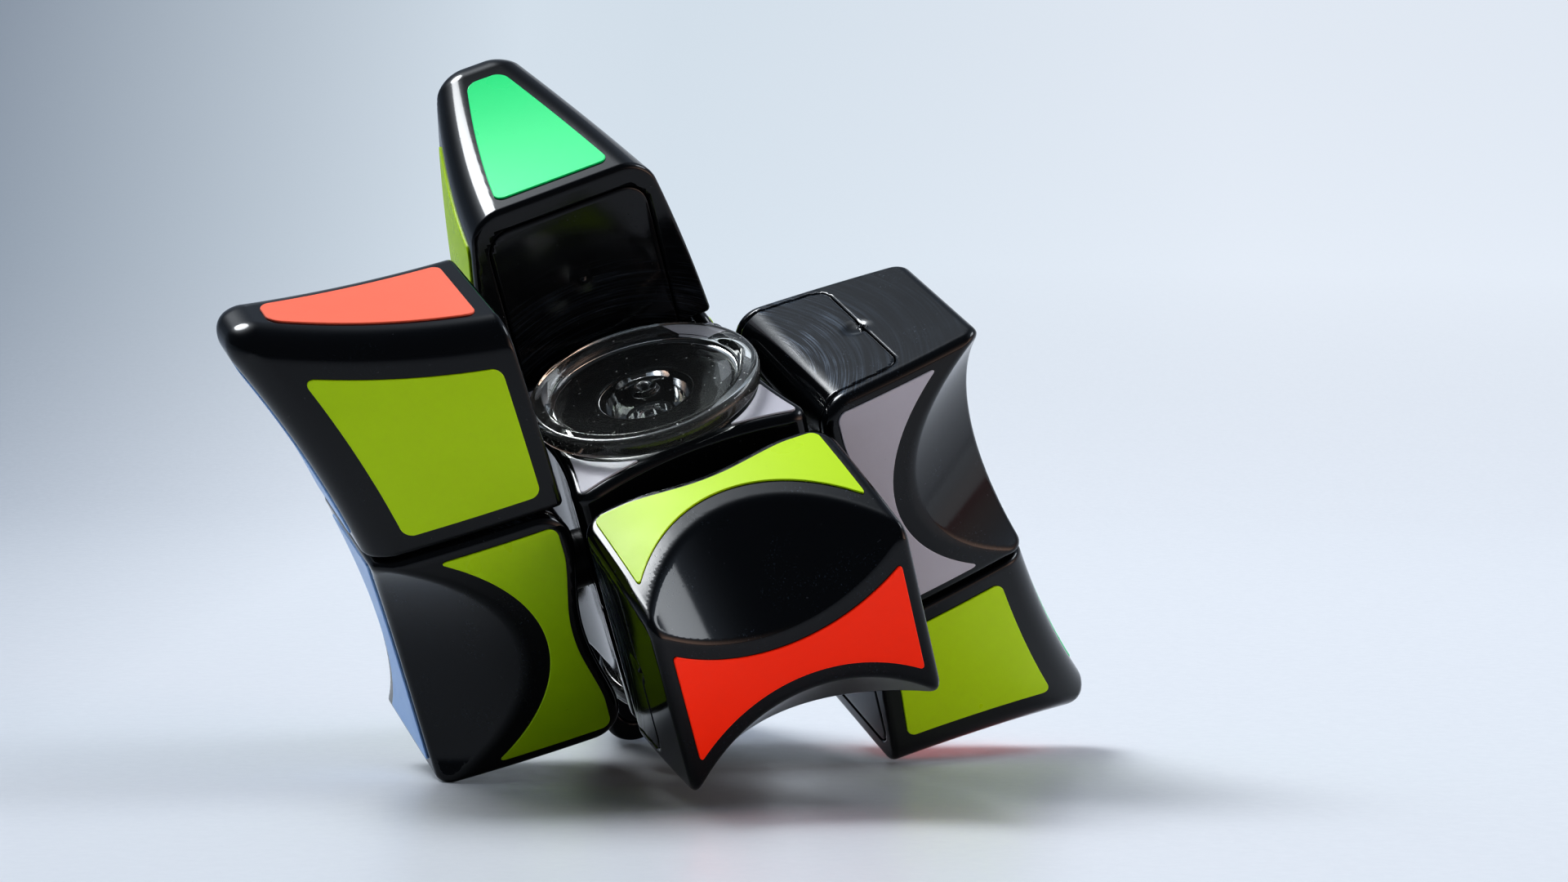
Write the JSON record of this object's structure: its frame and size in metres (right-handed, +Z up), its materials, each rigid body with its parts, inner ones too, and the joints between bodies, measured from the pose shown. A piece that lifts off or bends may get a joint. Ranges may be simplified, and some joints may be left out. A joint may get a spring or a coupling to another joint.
{
  "type": "twisty puzzle spinner",
  "caption": "One-layer twisty puzzle with clear finger caps on a ball bearing: curved black pieces with coloured stickers turn on the centre, shown scrambled and standing on its corners.",
  "frame": {"origin": "middle of the floor area of the standing puzzle, at the table surface", "axes": "+Z up from the table; +X to the right and +Y away from a person who sees the clear cap and the front edge; the spinner axis leans about 31 degrees from +Z"},
  "size_m": [0.0766, 0.0746, 0.0645],
  "materials": {
    "black_plastic": "glossy moulded plastic",
    "foot_plastic": "glossy moulded plastic with rubbing marks",
    "core_plastic": "satin nylon",
    "clear_plastic": "clear polished plastic",
    "lime_sticker": "satin vinyl",
    "white_sticker": "satin vinyl",
    "red_sticker": "satin vinyl",
    "orange_sticker": "satin vinyl",
    "green_sticker": "satin vinyl",
    "blue_sticker": "satin vinyl",
    "bearing_steel": "ground",
    "ball_steel": "polished",
    "cage_steel": "pressed",
    "spring_steel": "drawn wire",
    "screw_steel": "plated",
    "magnet_nickel": "nickel plated"
  },
  "bodies": {
    "core": {"core_upper_shell": "black_plastic", "core_lower_shell": "black_plastic", "core_spider": "core_plastic", "bearing_outer_ring": "bearing_steel", "edge_screws": "screw_steel", "edge_springs": "spring_steel", "spring_washers": "screw_steel", "centre_white_stickers": "white_sticker", "centre_lime_stickers": "lime_sticker"},
    "spinner": {"upper_cap": "clear_plastic", "lower_cap": "clear_plastic", "bearing_inner_ring": "bearing_steel"},
    "ball_set": {"bearing_balls": "ball_steel", "bearing_cage": "cage_steel"},
    "left_row": {"left_edge_shell": "black_plastic", "left_edge_foot": "foot_plastic", "left_edge_side_sticker": "blue_sticker", "left_row_magnets": "magnet_nickel", "left_row_lime_stickers": "lime_sticker", "left_row_white_stickers": "white_sticker", "left_corner_shell": "black_plastic", "left_corner_cover": "foot_plastic", "left_corner_end_sticker": "orange_sticker", "left_corner_side_sticker": "blue_sticker"},
    "front_edge": {"front_edge_shell": "black_plastic", "front_edge_foot": "foot_plastic", "front_edge_side_sticker": "red_sticker", "front_edge_magnets": "magnet_nickel", "front_edge_lime_sticker": "lime_sticker", "front_edge_white_sticker": "white_sticker"},
    "right_row": {"right_edge_shell": "black_plastic", "right_edge_foot": "foot_plastic", "right_edge_side_sticker": "green_sticker", "right_row_magnets": "magnet_nickel", "right_row_lime_stickers": "lime_sticker", "right_row_white_stickers": "white_sticker", "right_corner_shell": "black_plastic", "right_corner_cover": "foot_plastic", "right_corner_end_sticker": "red_sticker", "right_corner_side_sticker": "green_sticker"},
    "back_row": {"back_edge_shell": "black_plastic", "back_edge_foot": "foot_plastic", "back_edge_side_sticker": "orange_sticker", "back_row_magnets": "magnet_nickel", "back_row_lime_stickers": "lime_sticker", "back_row_white_stickers": "white_sticker", "upper_back_corner_shell": "black_plastic", "upper_back_corner_cover": "foot_plastic", "upper_back_corner_end_sticker": "green_sticker", "upper_back_corner_side_sticker": "red_sticker", "lower_back_corner_shell": "black_plastic", "lower_back_corner_cover": "foot_plastic", "lower_back_corner_end_sticker": "blue_sticker", "lower_back_corner_side_sticker": "orange_sticker"}
  },
  "joints": [
    {"name": "cap_spin", "type": "hinge", "parent": "core", "child": "spinner", "pos_m": [0, -0.0068, 0.0229], "axis": [-0.2164, -0.4642, 0.8589], "continuous": true},
    {"name": "cage_turn", "type": "hinge", "parent": "core", "child": "ball_set", "pos_m": [0, -0.0068, 0.0229], "axis": [-0.2164, -0.4642, 0.8589], "continuous": true},
    {"name": "left_turn", "type": "hinge", "parent": "core", "child": "left_row", "pos_m": [0, -0.0068, 0.0229], "axis": [0.8975, 0.2516, 0.3621], "continuous": true},
    {"name": "front_turn", "type": "hinge", "parent": "core", "child": "front_edge", "pos_m": [0, -0.0068, 0.0229], "axis": [0.3842, -0.8493, -0.3621], "continuous": true},
    {"name": "right_turn", "type": "hinge", "parent": "core", "child": "right_row", "pos_m": [0, -0.0068, 0.0229], "axis": [-0.8975, -0.2516, -0.3621], "continuous": true},
    {"name": "back_turn", "type": "hinge", "parent": "core", "child": "back_row", "pos_m": [0, -0.0068, 0.0229], "axis": [-0.3842, 0.8493, 0.3621], "continuous": true}
  ],
  "couplings": [
    {"joint": "cage_turn", "follows": "cap_spin", "ratio": 0.41664}
  ]
}
